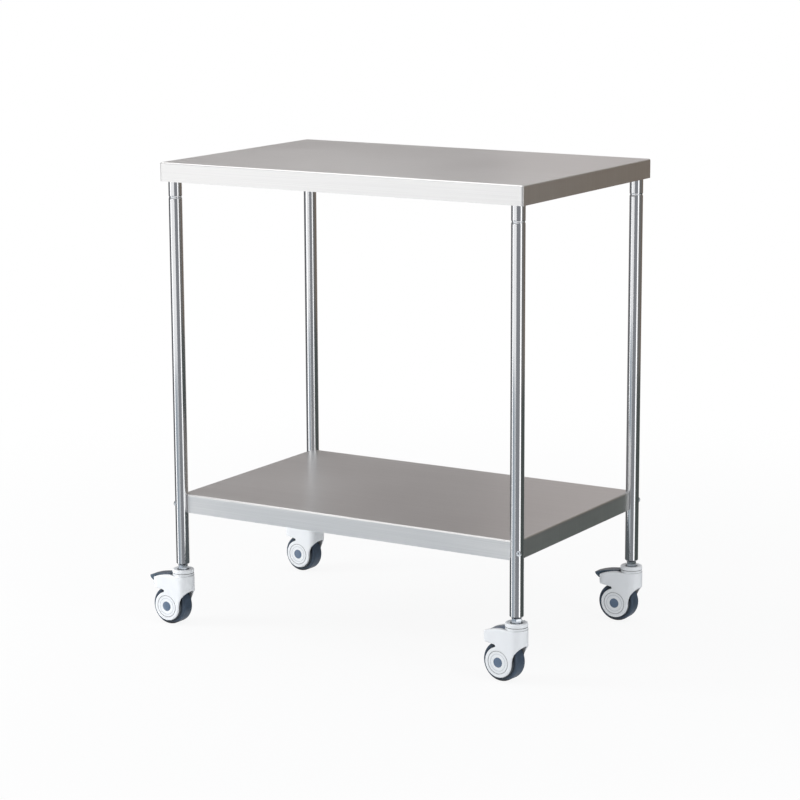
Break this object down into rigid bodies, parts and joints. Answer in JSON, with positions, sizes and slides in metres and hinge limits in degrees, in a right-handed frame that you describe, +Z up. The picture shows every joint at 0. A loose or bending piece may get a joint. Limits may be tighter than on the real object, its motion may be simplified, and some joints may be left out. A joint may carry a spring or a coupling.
{
  "type": "surgical instrument table",
  "caption": "Two-level rectangular stainless instrument table: folded worktop and lower shelf on tubular legs, with swivel casters and toe brakes on one diagonal.",
  "frame": {"origin": "on the floor under the middle of the worktop", "axes": "+Z up, +X along the worktop's long side to the right, +Y from the front apron to the back one"},
  "size_m": [0.8307, 0.5063, 0.8985],
  "materials": {
    "brushed_sheet": "fine brushed stainless sheet",
    "polished_tube": "polished stainless tube",
    "bright_steel": "bright plated steel",
    "white_moulding": "white moulded plastic, satin gloss",
    "slate_moulding": "slate grey moulded plastic",
    "wheel_core": "light grey moulded plastic",
    "soft_tread": "slate grey soft tread, non-marking"
  },
  "bodies": {
    "table": {"worktop": "brushed_sheet", "worktop_stiffener_front": "brushed_sheet", "worktop_stiffener_rear": "brushed_sheet", "shelf": "brushed_sheet", "shelf_stiffener": "brushed_sheet", "shelf_corner_brackets": "brushed_sheet", "shelf_screws": "bright_steel", "shelf_screw_nuts": "bright_steel", "leg_joint_studs": "bright_steel", "leg_foot_plugs": "polished_tube", "leg_tube_front_left": "polished_tube", "leg_socket_front_left": "polished_tube", "leg_tube_front_right": "polished_tube", "leg_socket_front_right": "polished_tube", "leg_tube_rear_right": "polished_tube", "leg_socket_rear_right": "polished_tube", "leg_tube_rear_left": "polished_tube", "leg_socket_rear_left": "polished_tube", "caster_stem_front_left": "bright_steel", "caster_stem_front_right": "bright_steel", "caster_stem_rear_right": "bright_steel", "caster_stem_rear_left": "bright_steel"},
    "swivel_front_left": {"caster_collar_front_left": "white_moulding", "caster_swivel_bearing_front_left": "bright_steel", "caster_housing_front_left": "white_moulding", "caster_axle_front_left": "bright_steel", "caster_axle_caps_front_left": "slate_moulding"},
    "wheel_front_left": {"caster_wheel_front_left": "wheel_core", "caster_tread_front_left": "soft_tread", "caster_wheel_bearings_front_left": "bright_steel"},
    "pedal_front_left": {"brake_pedal_front_left": "slate_moulding", "brake_shoe_front_left": "bright_steel"},
    "swivel_front_right": {"caster_collar_front_right": "white_moulding", "caster_swivel_bearing_front_right": "bright_steel", "caster_housing_front_right": "white_moulding", "caster_axle_front_right": "bright_steel", "caster_axle_caps_front_right": "slate_moulding", "slot_cover_front_right": "slate_moulding"},
    "wheel_front_right": {"caster_wheel_front_right": "wheel_core", "caster_tread_front_right": "soft_tread", "caster_wheel_bearings_front_right": "bright_steel"},
    "swivel_rear_right": {"caster_collar_rear_right": "white_moulding", "caster_swivel_bearing_rear_right": "bright_steel", "caster_housing_rear_right": "white_moulding", "caster_axle_rear_right": "bright_steel", "caster_axle_caps_rear_right": "slate_moulding"},
    "wheel_rear_right": {"caster_wheel_rear_right": "wheel_core", "caster_tread_rear_right": "soft_tread", "caster_wheel_bearings_rear_right": "bright_steel"},
    "pedal_rear_right": {"brake_pedal_rear_right": "slate_moulding", "brake_shoe_rear_right": "bright_steel"},
    "swivel_rear_left": {"caster_collar_rear_left": "white_moulding", "caster_swivel_bearing_rear_left": "bright_steel", "caster_housing_rear_left": "white_moulding", "caster_axle_rear_left": "bright_steel", "caster_axle_caps_rear_left": "slate_moulding", "slot_cover_rear_left": "slate_moulding"},
    "wheel_rear_left": {"caster_wheel_rear_left": "wheel_core", "caster_tread_rear_left": "soft_tread", "caster_wheel_bearings_rear_left": "bright_steel"}
  },
  "joints": [
    {"name": "swivel_front_left", "type": "hinge", "parent": "table", "child": "swivel_front_left", "pos_m": [-0.3675, -0.23, 0.095], "axis": [0, 0, 1], "continuous": true},
    {"name": "spin_front_left", "type": "hinge", "parent": "swivel_front_left", "child": "wheel_front_left", "pos_m": [-0.3935, -0.22955, 0.0365], "axis": [0.0175, 0.9998, 0], "continuous": true},
    {"name": "press_front_left", "type": "hinge", "parent": "swivel_front_left", "child": "pedal_front_left", "pos_m": [-0.3945, -0.22953, 0.0896], "axis": [-0.0175, -0.9998, 0], "range_deg": [0, 12]},
    {"name": "swivel_front_right", "type": "hinge", "parent": "table", "child": "swivel_front_right", "pos_m": [0.3675, -0.23, 0.095], "axis": [0, 0, 1], "continuous": true},
    {"name": "spin_front_right", "type": "hinge", "parent": "swivel_front_right", "child": "wheel_front_right", "pos_m": [0.3416, -0.22773, 0.0365], "axis": [0.0872, 0.9962, 0], "continuous": true},
    {"name": "swivel_rear_right", "type": "hinge", "parent": "table", "child": "swivel_rear_right", "pos_m": [0.3675, 0.23, 0.095], "axis": [0, 0, 1], "continuous": true},
    {"name": "spin_rear_right", "type": "hinge", "parent": "swivel_rear_right", "child": "wheel_rear_right", "pos_m": [0.3415, 0.22955, 0.0365], "axis": [-0.0175, 0.9998, 0], "continuous": true},
    {"name": "press_rear_right", "type": "hinge", "parent": "swivel_rear_right", "child": "pedal_rear_right", "pos_m": [0.3405, 0.22953, 0.0896], "axis": [0.0175, -0.9998, 0], "range_deg": [0, 12]},
    {"name": "swivel_rear_left", "type": "hinge", "parent": "table", "child": "swivel_rear_left", "pos_m": [-0.3675, 0.23, 0.095], "axis": [0, 0, 1], "continuous": true},
    {"name": "spin_rear_left", "type": "hinge", "parent": "swivel_rear_left", "child": "wheel_rear_left", "pos_m": [-0.39344, 0.23181, 0.0365], "axis": [0.0698, 0.9976, 0], "continuous": true}
  ]
}
